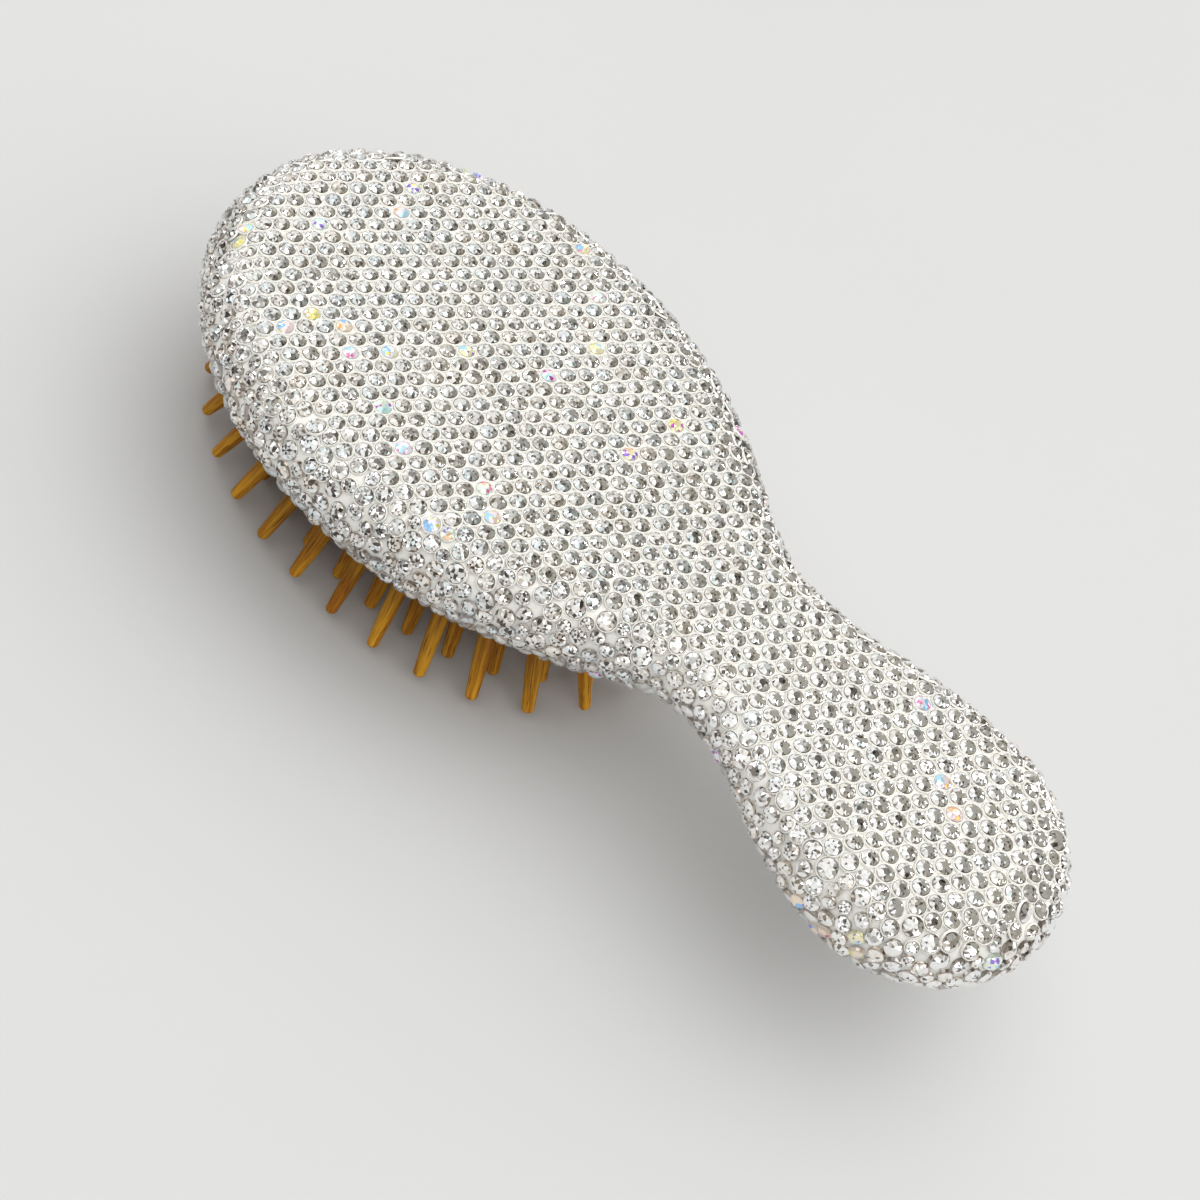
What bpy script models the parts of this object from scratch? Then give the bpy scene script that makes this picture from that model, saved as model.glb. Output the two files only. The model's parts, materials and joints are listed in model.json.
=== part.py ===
"""An oval cushion hairbrush with wooden pins, its back and handle set with rhinestones in clay.

The brush lies pins down. +X runs along the brush to the handle, +Y across it and +Z up, out of the back.
Heights are counted from the flat land round the cushion. One empty carries every piece and puts the
origin where the brush can be laid or fixed: at the centre of the head, on the flat back.
The head is flat on its back and has a fully rounded edge; the neck and the handle share the back's plane.
Three skins sit one inside the other: the stones, the clay they are set in, and the wooden core.
The core holds a rubber cushion by a bead round its rim. The pins stand in holes in the rubber.
Lengths are in millimetres here and in metres in the scene.
"""

import math

import bmesh
import bpy
from mathutils import Vector

MM = 0.001

# Outline, in plan
HEAD_FRONT = 50.4  # head centre to the front tip
HEAD_HALF_WIDTH = 37.1
HEAD_ROUNDNESS = 2.02  # exponent of the superellipse of the head's front half
HEAD_FULLNESS = 0.574  # how far the head's full width carries on towards the neck
NECK_X = 62.0
NECK_HALF_WIDTH = 15.3
NECK_PULL = 0.215  # how far the neck's width carries back towards the head
HANDLE_X = 99.4  # centre of the handle's round end
HANDLE_RADIUS = 22.5
HANDLE_RISE = (0.41, 0.5)  # how far the neck's and the handle's widths carry on between them

# Heights and thicknesses
BACK_Z = 17.5  # flat back of the stones, above the flat land round the cushion
NECK_THICKNESS = 11.5
HANDLE_THICKNESS = 16.5
HEAD_END_X = 45.0  # the head keeps its full thickness up to here
NECK_THIN_X = 66.0
STONE_DEPTH = 1.2
CLAY_DEPTH = 1.5
GAP = 0.3  # between pieces that lie one on the other

# Cushion
CUSHION_X = 1.0  # centre of the cushion's opening
OPENING = (42.0, 27.6)  # half length, half width
OPENING_ROUNDNESS = 2.2
POCKET_FLOOR_Z = 10.5
GROOVE_DEPTH = 1.8
GROOVE_Z = (6.0, 8.2)
RUBBER = 1.6
DOME = 5.5  # height of the rubber dome below the land
HOLE_RADIUS = 1.8
VENT_X = 36.0

# Pins
PIN_RADIUS = 1.15
PIN_TIP_RADIUS = 0.95
PIN_FLANGE_RADIUS = 1.9
PIN_FLANGE = (-2.7, -1.9)  # span of the flange behind the rubber, from the pivot
TIP_Z = -17.0  # height of a pin tip at the rim of the field
TIP_CROWN = 2.0  # how much lower the tips stand at the centre
SPLAY = (0.0148, 0.0263)  # lean of a pin for each mm away from the centre, along X and along Y
OUTER_RING = (38.0, 23.0, 28)  # half length, half width and count of a ring of pins
SECOND_RING = (33.1, 19.0, 28)
INNER_RINGS = ((27.4, 13.8, 18), (21.2, 8.6, 12), (14.2, 3.3, 6))
FIELD_ROUNDNESS = 2.15
END_Y = 8.0  # pins of the two outer rings this near the middle line stand fixed, like the inner ones
FOAM = (38.4, 24.0)
FOAM_Z = (3.0, 4.5)

# Fineness of the faceted solids
OUTLINE_STEPS = {"head": 11, "waist": 7, "handle": 5, "end": 5}
EDGE_STEPS = 6
OVAL_STEPS = 32
PIN_SIDES = 8
HOLE_SIDES = 6


def clear_scene():
    for obj in list(bpy.data.objects):
        bpy.data.objects.remove(obj)


def material(name, colour, roughness, metallic=0.0):
    made = bpy.data.materials.new(name)
    made.use_nodes = True
    shader = made.node_tree.nodes["Principled BSDF"]
    shader.inputs["Base Color"].default_value = (*colour, 1.0)
    shader.inputs["Roughness"].default_value = roughness
    shader.inputs["Metallic"].default_value = metallic
    return made


def finish_object(name, mesh_builder, place=None, smooth_angle=40.0):
    """Turns a bmesh into a linked object, faces out, shaded smooth except at its sharp edges."""
    bmesh.ops.remove_doubles(mesh_builder, verts=mesh_builder.verts, dist=0.000001)
    bmesh.ops.recalc_face_normals(mesh_builder, faces=mesh_builder.faces)
    mesh = bpy.data.meshes.new(name)
    mesh_builder.to_mesh(mesh)
    mesh_builder.free()
    mesh.shade_smooth()
    mesh.set_sharp_from_angle(angle=math.radians(smooth_angle))
    obj = bpy.data.objects.new(name, mesh)
    if place is not None:
        obj.location, obj.rotation_mode = place[0], "QUATERNION"
        obj.rotation_quaternion = place[1]
    bpy.context.scene.collection.objects.link(obj)
    return obj


def as_cutter(obj):
    obj.hide_render = True
    obj.display_type = "WIRE"
    return obj


def combine(obj, other, operation):
    boolean = obj.modifiers.new(f"{operation.lower()} {other.name}", "BOOLEAN")
    boolean.operation = operation
    boolean.object = other
    boolean.solver = "EXACT"


# Outline


def smooth_step(x, start, end):
    t = min(1.0, max(0.0, (x - start) / (end - start)))
    return t * t * (3 - 2 * t)


def bezier(p0, p1, p2, p3, steps):
    """Points along a cubic curve, without its first point."""
    points = []
    for i in range(1, steps + 1):
        t = i / steps
        s = 1 - t
        weights = (s**3, 3 * s * s * t, 3 * s * t * t, t**3)
        points.append(tuple(sum(w * p[k] for w, p in zip(weights, (p0, p1, p2, p3))) for k in (0, 1)))
    return points


def superellipse(half_length, half_width, roundness, angle):
    """Point at an angle counted from the -X tip towards +Y."""
    c, s = math.cos(angle), math.sin(angle)
    x = -half_length * math.copysign(abs(c) ** (2 / roundness), c)
    y = half_width * math.copysign(abs(s) ** (2 / roundness), s)
    return x, y


def half_outline():
    """The +Y side of the brush, from the head's front tip to the handle's end."""
    steps = OUTLINE_STEPS["head"]
    points = []
    for i in range(steps + 1):
        t = (i / steps) ** 1.25  # finer at the front tip, where the curve spaces its points widely
        points.append(superellipse(HEAD_FRONT, HEAD_HALF_WIDTH, HEAD_ROUNDNESS, t * math.pi / 2))
    points[0] = (-HEAD_FRONT, 0.0)
    points[-1] = (0.0, HEAD_HALF_WIDTH)
    points += bezier(
        (0.0, HEAD_HALF_WIDTH),
        (HEAD_FULLNESS * NECK_X, HEAD_HALF_WIDTH),
        ((1 - NECK_PULL) * NECK_X, NECK_HALF_WIDTH),
        (NECK_X, NECK_HALF_WIDTH),
        OUTLINE_STEPS["waist"],
    )
    reach = HANDLE_X - NECK_X
    points += bezier(
        (NECK_X, NECK_HALF_WIDTH),
        (NECK_X + HANDLE_RISE[0] * reach, NECK_HALF_WIDTH),
        (HANDLE_X - HANDLE_RISE[1] * reach, HANDLE_RADIUS),
        (HANDLE_X, HANDLE_RADIUS),
        OUTLINE_STEPS["handle"],
    )
    steps = OUTLINE_STEPS["end"]
    for i in range(1, steps + 1):
        turn = i / steps * math.pi / 2
        points.append((HANDLE_X + HANDLE_RADIUS * math.sin(turn), HANDLE_RADIUS * math.cos(turn)))
    points[-1] = (HANDLE_X + HANDLE_RADIUS, 0.0)
    return points


def thickness(x):
    neck = smooth_step(x, HEAD_END_X, NECK_THIN_X)
    handle = smooth_step(x, NECK_THIN_X, HANDLE_X)
    full = BACK_Z + (NECK_THICKNESS - BACK_Z) * neck
    return full + (HANDLE_THICKNESS - NECK_THICKNESS) * handle


def skin(name, inset):
    """The whole brush as a solid, its surface `inset` under the stones' surface."""
    half = half_outline()
    last = len(half) - 1
    outward = []
    for i, (x, y) in enumerate(half):
        before = half[i - 1] if i > 0 else (half[1][0], -half[1][1])
        after = half[i + 1] if i < last else (half[last - 1][0], -half[last - 1][1])
        along = Vector((after[0] - before[0], after[1] - before[1])).normalized()
        outward.append(Vector((-along.y, along.x)))
    bm = bmesh.new()
    rings = []
    for k in range(EDGE_STEPS + 1):
        turn = math.pi / 2 - k / EDGE_STEPS * math.pi
        side = []
        for (x, y), normal in zip(half, outward):
            edge = thickness(x) / 2
            inward = edge - (edge - inset) * math.cos(turn)
            z = BACK_Z - edge + (edge - inset) * math.sin(turn)
            side.append((x - normal.x * inward, y - normal.y * inward, z))
        near = [(x, -y, z) for x, y, z in side[1:-1]]
        loop = side + near[::-1]
        rings.append([bm.verts.new(Vector(p) * MM) for p in loop])
    count = len(rings[0])
    for upper, lower in zip(rings, rings[1:]):
        for i in range(count):
            j = (i + 1) % count
            bm.faces.new((upper[i], upper[j], lower[j], lower[i]))
    for ring in (rings[0], rings[-1]):
        for i in range(last):
            corners = [ring[i], ring[i + 1]]
            if i < last - 1:
                corners.append(ring[-(i + 1)])
            if i > 0:
                corners.append(ring[-i])
            bm.faces.new(corners)
    return finish_object(name, bm)


# Cushion


def oval(half_length, half_width, z, roundness=OPENING_ROUNDNESS):
    """A level loop round the cushion's centre."""
    loop = []
    for i in range(OVAL_STEPS):
        x, y = superellipse(half_length, half_width, roundness, i / OVAL_STEPS * 2 * math.pi)
        loop.append(Vector((CUSHION_X + x, y, z)) * MM)
    return loop


def loft(name, loops):
    """A closed solid through level loops, with a flat face at each end."""
    bm = bmesh.new()
    rings = [[bm.verts.new(p) for p in loop] for loop in loops]
    count = len(rings[0])
    for a, b in zip(rings, rings[1:]):
        for i in range(count):
            j = (i + 1) % count
            bm.faces.new((a[i], a[j], b[j], b[i]))
    bm.faces.new(rings[0])
    bm.faces.new(rings[-1])
    return finish_object(name, bm)


def oval_block(name, growth, low, high):
    """A straight-sided block with the opening's outline, grown all round."""
    half_length, half_width = OPENING[0] + growth, OPENING[1] + growth
    return loft(name, [oval(half_length, half_width, z) for z in (low, high)])


def dome_height(share):
    """How far the rubber's outer face stands below the land, at a share of the way out from the centre."""
    return DOME * (1 - share * share)


def rubber_face(x, y):
    """Height of the rubber's outer face at a point in plan."""
    along = abs((x - CUSHION_X) / OPENING[0]) ** OPENING_ROUNDNESS
    across = abs(y / OPENING[1]) ** OPENING_ROUNDNESS
    return -dome_height(min(1.0, (along + across) ** (1 / OPENING_ROUNDNESS)))


def cushion_pad():
    """Rubber dome with a skirt up into the pocket and a bead in the groove."""
    bead = GROOVE_DEPTH - GAP
    low, high = GROOVE_Z[0] + GAP, GROOVE_Z[1] - GAP
    outer_wall, inner_wall = -GAP, -GAP - RUBBER
    shares = (0.97, 0.84, 0.62, 0.34)

    def grown(growth, z):
        return oval(OPENING[0] + growth, OPENING[1] + growth, z)

    def scaled(share, z):
        return oval(OPENING[0] * share, OPENING[1] * share, z)

    outside = [grown(bead, high), grown(bead, low), grown(outer_wall, low), grown(outer_wall, 0.2)]
    outside += [scaled(share, -dome_height(share)) for share in shares]
    inside = [scaled(share, RUBBER - dome_height(share)) for share in reversed(shares[1:])]
    inside += [grown(inner_wall, RUBBER + 0.2), grown(inner_wall, high)]
    bm = bmesh.new()
    rings = [[bm.verts.new(p) for p in loop] for loop in outside]
    inner_rings = [[bm.verts.new(p) for p in loop] for loop in inside]
    count = OVAL_STEPS
    for stack in (rings, inner_rings, [inner_rings[-1], rings[0]]):
        for a, b in zip(stack, stack[1:]):
            for i in range(count):
                j = (i + 1) % count
                bm.faces.new((a[i], a[j], b[j], b[i]))
    bm.faces.new(rings[-1])
    bm.faces.new(inner_rings[0])
    return finish_object("cushion_pad", bm)


# Pins


def ring_of_pins(half_length, half_width, count, offset):
    """Places in plan evenly spaced along a ring, starting `offset` of a space from the front tip."""
    fine = 720
    trace = []
    for i in range(fine + 1):
        x, y = superellipse(half_length, half_width, FIELD_ROUNDNESS, i / fine * 2 * math.pi)
        trace.append(Vector((x, y)))
    lengths = [0.0]
    for a, b in zip(trace, trace[1:]):
        lengths.append(lengths[-1] + (b - a).length)
    places = []
    for i in range(count):
        target = (i + offset) / count * lengths[-1]
        k = max(j for j in range(fine) if lengths[j] <= target)
        share = (target - lengths[k]) / max(1e-9, lengths[k + 1] - lengths[k])
        x, y = trace[k].lerp(trace[k + 1], share)
        places.append((CUSHION_X + x, y))
    return places


def pin_stance(x, y):
    """Pivot in the middle of the rubber, direction to the tip, and distance to the tip."""
    pivot = Vector((x, y, rubber_face(x, y) + RUBBER / 2))
    lean = Vector(((x - CUSHION_X) * SPLAY[0], y * SPLAY[1], -1.0)).normalized()
    reach = math.hypot((x - CUSHION_X) / OUTER_RING[0], y / OUTER_RING[1])
    tip_z = TIP_Z - TIP_CROWN * (1 - min(1.0, reach * reach))
    return pivot, lean, (tip_z - pivot.z) / lean.z


def turned(profile, sides):
    """A bmesh turned about Z from (radius, height) pairs, closed by a flat face at each end."""
    bm = bmesh.new()
    rings = []
    for radius, height in profile:
        ring = []
        for i in range(sides):
            turn = i / sides * 2 * math.pi
            point = Vector((radius * math.cos(turn), radius * math.sin(turn), height))
            ring.append(bm.verts.new(point * MM))
        rings.append(ring)
    for a, b in zip(rings, rings[1:]):
        for i in range(sides):
            j = (i + 1) % sides
            bm.faces.new((a[i], a[j], b[j], b[i]))
    bm.faces.new(rings[0])
    bm.faces.new(rings[-1])
    return bm


def shaft_profile(start, length):
    """A pin's shaft, tapering to a rounded tip, from `start` to `length` along its axis."""
    return [
        (PIN_RADIUS, start),
        (PIN_TIP_RADIUS, length - 0.7),
        (PIN_TIP_RADIUS * 0.45, length),
    ]


def stand(name, bm, pivot, lean):
    """Places a turned piece with its origin on the pivot and its +Z along the lean."""
    return finish_object(name, bm, (pivot * MM, lean.to_track_quat("Z", "Y")))


def jointed_pin(name, x, y):
    pivot, lean, length = pin_stance(x, y)
    flange = [(PIN_FLANGE_RADIUS, PIN_FLANGE[0]), (PIN_FLANGE_RADIUS, PIN_FLANGE[1])]
    return stand(name, turned(flange + shaft_profile(PIN_FLANGE[1], length), PIN_SIDES), pivot, lean)


def all_in_one(name, bodies):
    """Joins separate closed bodies into one cutter or tool object."""
    bm = bmesh.new()
    for obj in bodies:
        bpy.context.view_layer.update()
        mesh = obj.data.copy()
        mesh.transform(obj.matrix_world)
        bm.from_mesh(mesh)
        bpy.data.meshes.remove(mesh)
        bpy.data.objects.remove(obj)
    return as_cutter(finish_object(name, bm))


def pin_holes(places):
    holes = []
    for x, y in places:
        pivot, lean, _ = pin_stance(x, y)
        bm = turned([(HOLE_RADIUS, -4.0), (HOLE_RADIUS, 4.0)], HOLE_SIDES)
        holes.append(stand("hole", bm, pivot, lean))
    vent = turned([(0.7, -4.0), (0.7, 4.0)], HOLE_SIDES)
    holes.append(stand("vent", vent, Vector((VENT_X, 0.0, rubber_face(VENT_X, 0.0))), Vector((0, 0, -1))))
    return all_in_one("cutter_pin_holes", holes)


def pin_backing(places):
    """Foam sheet behind the rubber, with the inner pins standing in it."""
    foam = loft("pin_backing", [oval(*FOAM, z, FIELD_ROUNDNESS) for z in FOAM_Z])
    shafts = []
    for x, y in places:
        pivot, lean, length = pin_stance(x, y)
        into_foam = (FOAM_Z[0] + 0.6 - pivot.z) / lean.z
        shafts.append(stand("shaft", turned(shaft_profile(into_foam, length), HOLE_SIDES), pivot, lean))
    combine(foam, all_in_one("tool_inner_pins", shafts), "UNION")
    return foam


# Assembly


def carry_all():
    """Parents every piece and cutter to one empty, which moves the flat back to z = 0."""
    carrier = bpy.data.objects.new("brush_frame", None)
    bpy.context.scene.collection.objects.link(carrier)
    for obj in bpy.context.scene.collection.objects:
        if obj is not carrier:
            obj.parent = carrier
    carrier.location.z = -BACK_Z * MM


def build():
    clear_scene()
    crystal = material("crystal", (0.82, 0.84, 0.86), 0.08)
    clay = material("clay", (0.86, 0.86, 0.85), 0.55)
    beech = material("beech", (0.72, 0.52, 0.33), 0.5)
    rubber = material("rubber", (0.035, 0.03, 0.028), 0.6)
    foam = material("foam", (0.6, 0.56, 0.5), 0.9)
    pin_wood = material("pin_wood", (0.62, 0.33, 0.07), 0.42)

    clay_top = STONE_DEPTH + GAP
    core_top = clay_top + CLAY_DEPTH + GAP
    opening = as_cutter(oval_block("cutter_opening", 0.0, -5.0, POCKET_FLOOR_Z))
    groove = as_cutter(oval_block("cutter_groove", GROOVE_DEPTH, *GROOVE_Z))

    stones = skin("rhinestone_layer", 0.0)
    setting = skin("clay_setting", clay_top)
    core = skin("brush_body", core_top)
    combine(stones, as_cutter(skin("cutter_stones", STONE_DEPTH)), "DIFFERENCE")
    combine(setting, as_cutter(skin("cutter_clay", clay_top + CLAY_DEPTH)), "DIFFERENCE")
    for obj, look in ((stones, crystal), (setting, clay), (core, beech)):
        combine(obj, opening, "DIFFERENCE")
        obj.data.materials.append(look)
    combine(core, groove, "DIFFERENCE")

    outer = ring_of_pins(*OUTER_RING, 0.0)
    second = ring_of_pins(*SECOND_RING, 0.5)
    inner = [place for place in outer + second if abs(place[1]) < END_Y]
    outer = [place for place in outer if place not in inner]
    second = [place for place in second if place not in inner]
    for k, ring in enumerate(INNER_RINGS):
        inner += ring_of_pins(*ring, 0.5 * (k % 2))

    pad = cushion_pad()
    combine(pad, pin_holes(outer + second + inner), "DIFFERENCE")
    pad.data.materials.append(rubber)
    pin_backing(inner).data.materials.append(foam)
    for group, places in (("outer", outer), ("second", second)):
        for i, (x, y) in enumerate(places, 1):
            jointed_pin(f"pin_{group}_{i:02d}", x, y).data.materials.append(pin_wood)
    carry_all()


build()
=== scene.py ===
"""Looks of a cushion hairbrush: wooden pins in a rubber cushion, back and handle set with rhinestones.

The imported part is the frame. The back lies at z = 0, +X runs to the handle and the pins point to -Z.
Shapes are worked out in millimetres and turned into metres when a mesh is made.
"""

import json
import math
import random

import bmesh
import bpy
import numpy as np
from mathutils import Matrix, Vector, kdtree

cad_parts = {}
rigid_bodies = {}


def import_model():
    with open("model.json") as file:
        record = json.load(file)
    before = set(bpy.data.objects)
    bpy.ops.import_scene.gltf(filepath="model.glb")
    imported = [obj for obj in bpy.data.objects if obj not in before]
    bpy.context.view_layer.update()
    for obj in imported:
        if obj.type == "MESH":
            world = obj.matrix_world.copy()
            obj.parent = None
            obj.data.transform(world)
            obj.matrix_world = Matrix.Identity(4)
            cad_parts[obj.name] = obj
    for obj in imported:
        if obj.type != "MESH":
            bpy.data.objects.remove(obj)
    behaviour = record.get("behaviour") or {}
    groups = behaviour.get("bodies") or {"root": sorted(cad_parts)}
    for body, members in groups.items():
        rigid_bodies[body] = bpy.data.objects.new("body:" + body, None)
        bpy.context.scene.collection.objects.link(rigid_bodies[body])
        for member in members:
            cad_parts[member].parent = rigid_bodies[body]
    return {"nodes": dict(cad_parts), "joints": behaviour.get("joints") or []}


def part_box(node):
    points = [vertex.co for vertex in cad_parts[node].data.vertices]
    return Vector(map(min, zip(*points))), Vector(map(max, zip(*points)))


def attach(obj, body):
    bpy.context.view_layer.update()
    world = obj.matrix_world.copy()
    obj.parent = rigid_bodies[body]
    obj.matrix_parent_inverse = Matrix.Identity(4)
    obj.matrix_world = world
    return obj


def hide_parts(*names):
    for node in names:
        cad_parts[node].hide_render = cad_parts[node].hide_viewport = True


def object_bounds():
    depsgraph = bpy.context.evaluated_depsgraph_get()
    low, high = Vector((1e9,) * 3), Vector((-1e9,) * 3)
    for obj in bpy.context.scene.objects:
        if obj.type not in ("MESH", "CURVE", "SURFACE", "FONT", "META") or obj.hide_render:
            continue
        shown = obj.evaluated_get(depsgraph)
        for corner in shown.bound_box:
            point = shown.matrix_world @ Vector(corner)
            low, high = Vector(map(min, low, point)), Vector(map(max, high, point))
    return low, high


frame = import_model()
cad_low, cad_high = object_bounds()

MM = 0.001


def box_mm(node):
    low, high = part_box(node)
    return np.array(low) / MM, np.array(high) / MM


# Plan and section of the body. Its ends, width and depth are the stone layer's box.
BODY_LOW, BODY_HIGH = box_mm("rhinestone_layer")
HEAD_FRONT = -BODY_LOW[0]
HEAD_HALF_WIDTH = BODY_HIGH[1]
HEAD_DEPTH = BODY_HIGH[2] - BODY_LOW[2]
HANDLE_RADIUS = 22.5
HANDLE_X = BODY_HIGH[0] - HANDLE_RADIUS
HEAD_ROUNDNESS = 2.02
HEAD_FULLNESS = 0.574
NECK_X = 62.0
NECK_HALF_WIDTH = 15.3
NECK_PULL = 0.215
HANDLE_RISE = (0.41, 0.5)
NECK_DEPTH = 11.5
HANDLE_DEPTH = 16.5
HEAD_END_X = 45.0
NECK_THIN_X = 66.0
LOOP_POINTS = 1080  # points round the plan, an even share on each side

# Cushion. Its box is the opening's outline, grown by the bead that holds it.
PAD_LOW, PAD_HIGH = box_mm("cushion_pad")
BEAD = 1.5
CUSHION_X = (PAD_LOW[0] + PAD_HIGH[0]) / 2
OPENING = ((PAD_HIGH[0] - PAD_LOW[0]) / 2 - BEAD, (PAD_HIGH[1] - PAD_LOW[1]) / 2 - BEAD)
OPENING_ROUNDNESS = 2.2
LAND_Z = -HEAD_DEPTH
POCKET_TOP = -7.0
DOME = LAND_Z - PAD_LOW[2]
RUBBER = 1.6
PIN_HOLE = 1.64
VENT_X = 36.0
VENT_RADIUS = 0.7
DOME_SHARES = (0.93, 0.88, 0.8, 0.7, 0.58, 0.45, 0.3, 0.15)  # of the opening's outline
SKIRT = -1.2  # growth of the dome's upright edge
SKIRT_OUTSIDE = ((0.0, 7.5), (0.0, 0.4), (-0.12, 0.05), (-0.5, -0.32))  # more growth, height over LAND_Z
SKIRT_INSIDE = ((-1.3, 1.7), (-1.1, 7.5))
RIM_SECTION = (  # growth and height over LAND_Z
    (-0.3, 6.3),
    (1.3, 6.35),
    (1.5, 6.6),
    (1.5, 7.6),
    (1.3, 7.85),
    (-1.05, 7.85),
    (-1.05, 0.5),
    (-1.0, 0.0),
    (-0.8, -0.22),
    (-0.55, -0.25),
    (-0.36, -0.1),
    (-0.3, 0.3),
)

# Pins
PIN_NECK = 1.22
PIN_BODY = 1.42
PIN_TIP = 1.0
NECK_LENGTH = 2.6  # below the pivot
SHOULDER = 1.0
TIP_ROUND = 0.85
FLANGE_START = -2.7
FLANGE = ((1.5, 0.0), (1.7, 0.1), (1.75, 0.3), (1.65, 0.5))  # radius and height above its start
FLANGE_HEIGHT = 0.62
FOOT_START = -0.6  # of a fixed pin, inside the sheet
SHEET = 1.5
SHEET_EDGE = ((-1.2, -SHEET), (-0.3, -1.35), (0.0, -0.95), (0.0, -0.5), (-0.3, -0.12), (-1.2, 0.0))
PIN_FOOT_SHADE = (0.005, 0.021)  # metres from a pin's foot over which painted shade fades out, darkest at the foot where the head shades the pins

# Stones
PITCH = 3.06
ROW_TURN = math.radians(0.8)
STONE_RADIUS = (1.31, 1.39)
STONE_PROUD = 0.4  # tables stand this far out of the part's stone surface
LATTICE_REACH = 7.5  # the even rows carry on this far down the rounded edge
STRAY = 0.28  # spread of their places where the even rows end
FIRM_REACH = 3.5  # beyond this the stones have moved to lie against the loose ones
LOOSE_SPACING = 2.78
LOOSE_RADIUS = 1.4
COLLAR_UP = 0.6  # stones that face up more than this have a rim of clay
ROWS, COLUMNS = range(-20, 21), range(-24, 50)
LARGEST_LOOSE = 1.68
SMALLEST = 0.7
SIZE_MIX = (0.8, 0.92, 1.0, 1.0, 1.08, 1.2)  # shares of LOOSE_RADIUS
SAMPLE_STEP = 0.4
SAMPLE_BANDS = 62  # from the back round the edge to the underside
SAMPLE_X, SAMPLE_Y = (-45, 120), (-32, 32)
START_SHARE = 0.777  # of LOOSE_SPACING: how near the loose stones start to each other
ROW_CLEARANCE = 0.82  # of PITCH: how near they start to the even rows
SETTLE_ROUNDS = 70
STONE_GAP = 0.16
PROUD_SPREAD = (-0.06, 0.08)
LOOSE_LEAN = 8.0  # degrees
ROW_LEAN = (2.4, 7.0)  # degrees on the back, and more on a slope
BACK_UP, EDGE_UP = 0.75, -0.35  # how much a stone's axis points up, to belong to the back or the edge
IRIDESCENT_SHARE = 0.038
RIM_MARGIN = 1.55  # stones' centres keep this far out of the cushion's opening
CLAY_INSET = 0.5
CLAY_DEPTH = 2.4

# Light and camera, which looks from the front corner, high up
LIGHT_FROM = (0.27, 0.31, 0.9)
CAMERA_AT = (0.13341, -0.19426, 0.2498)
CAMERA_LOOK = (-0.2782, 0.5551, -0.7839)
CAMERA_UP = (-0.6917, 0.4505, 0.5645)
CAMERA_LENS = 66.0


# Meshes


def new_object(name, points, faces, angle=None):
    """A linked object from points in millimetres; smooth shaded up to an angle, or flat."""
    mesh = bpy.data.meshes.new(name)
    mesh.from_pydata((np.asarray(points) * MM).tolist(), [], faces)
    mesh.validate()
    if angle is not None:
        mesh.shade_smooth()
        mesh.set_sharp_from_angle(angle=math.radians(angle))
    obj = bpy.data.objects.new(name, mesh)
    bpy.context.scene.collection.objects.link(obj)
    return obj


def outward(obj):
    """Turns all faces to look outward."""
    bm = bmesh.new()
    bm.from_mesh(obj.data)
    bmesh.ops.recalc_face_normals(bm, faces=bm.faces)
    bm.to_mesh(obj.data)
    bm.free()
    return obj


def remove(obj):
    mesh = obj.data
    bpy.data.objects.remove(obj)
    bpy.data.meshes.remove(mesh)


def carve(obj, *cutters):
    """Cuts the closed cutters out of obj, and removes them."""
    for cutter in cutters:
        cut = obj.modifiers.new("cut", "BOOLEAN")
        cut.operation = "DIFFERENCE"
        cut.solver = "EXACT"
        cut.object = cutter
    bpy.context.view_layer.update()
    depsgraph = bpy.context.evaluated_depsgraph_get()
    result = bpy.data.meshes.new_from_object(obj.evaluated_get(depsgraph))
    obj.modifiers.clear()
    old, obj.data = obj.data, result
    result.name = obj.name
    bpy.data.meshes.remove(old)
    for cutter in cutters:
        remove(cutter)
    return obj


def join(obj, *others):
    """Adds the others' meshes to obj and removes them."""
    bm = bmesh.new()
    bm.from_mesh(obj.data)
    for other in others:
        copy = other.data.copy()
        copy.transform(other.matrix_world)
        bm.from_mesh(copy)
        bpy.data.meshes.remove(copy)
        remove(other)
    bm.to_mesh(obj.data)
    bm.free()
    return obj


def hand_over(obj, look, body, node):
    """Gives a piece its material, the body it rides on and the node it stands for."""
    obj.data.materials.clear()
    obj.data.materials.append(look)
    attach(obj, body)
    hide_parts(node)


def smooth(obj, angle):
    obj.data.shade_smooth()
    obj.data.set_sharp_from_angle(angle=math.radians(angle))
    return obj


def loft(loops, close=False, caps=True):
    """Points and faces of loops joined one to the next; closed into a tube's ring, or capped."""
    count = len(loops[0])
    points = np.concatenate(loops)
    faces = []
    spans = len(loops) if close else len(loops) - 1
    for k in range(spans):
        a, b = k * count, (k + 1) % len(loops) * count
        for i in range(count):
            j = (i + 1) % count
            faces.append((a + i, a + j, b + j, b + i))
    if caps and not close:
        faces.append(tuple(range(count))[::-1])
        faces.append(tuple(range(len(points) - count, len(points))))
    return points, faces


def many(template_points, template_faces, frames):
    """Copies of a template, one for each (centre, three axes, size) frame, as points and faces."""
    template_points = np.asarray(template_points)
    count = len(template_points)
    points, faces = [], []
    for k, (centre, axes, size) in enumerate(frames):
        points.append(centre + (template_points * size) @ axes)
        faces += [tuple(i + k * count for i in face) for face in template_faces]
    return np.concatenate(points), faces


# Body's shape


def smooth_step(x, start, end):
    """0 before start, 1 past end and a smooth rise between."""
    t = np.clip((x - start) / (end - start), 0.0, 1.0)
    return t * t * (3 - 2 * t)


def bezier(p0, p1, p2, p3):
    t = np.linspace(0.0, 1.0, 400)[:, None]
    s = 1 - t
    first, second, third, last = (np.array(p) for p in (p0, p1, p2, p3))
    return s**3 * first + 3 * s * s * t * second + 3 * s * t * t * third + t**3 * last


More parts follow.
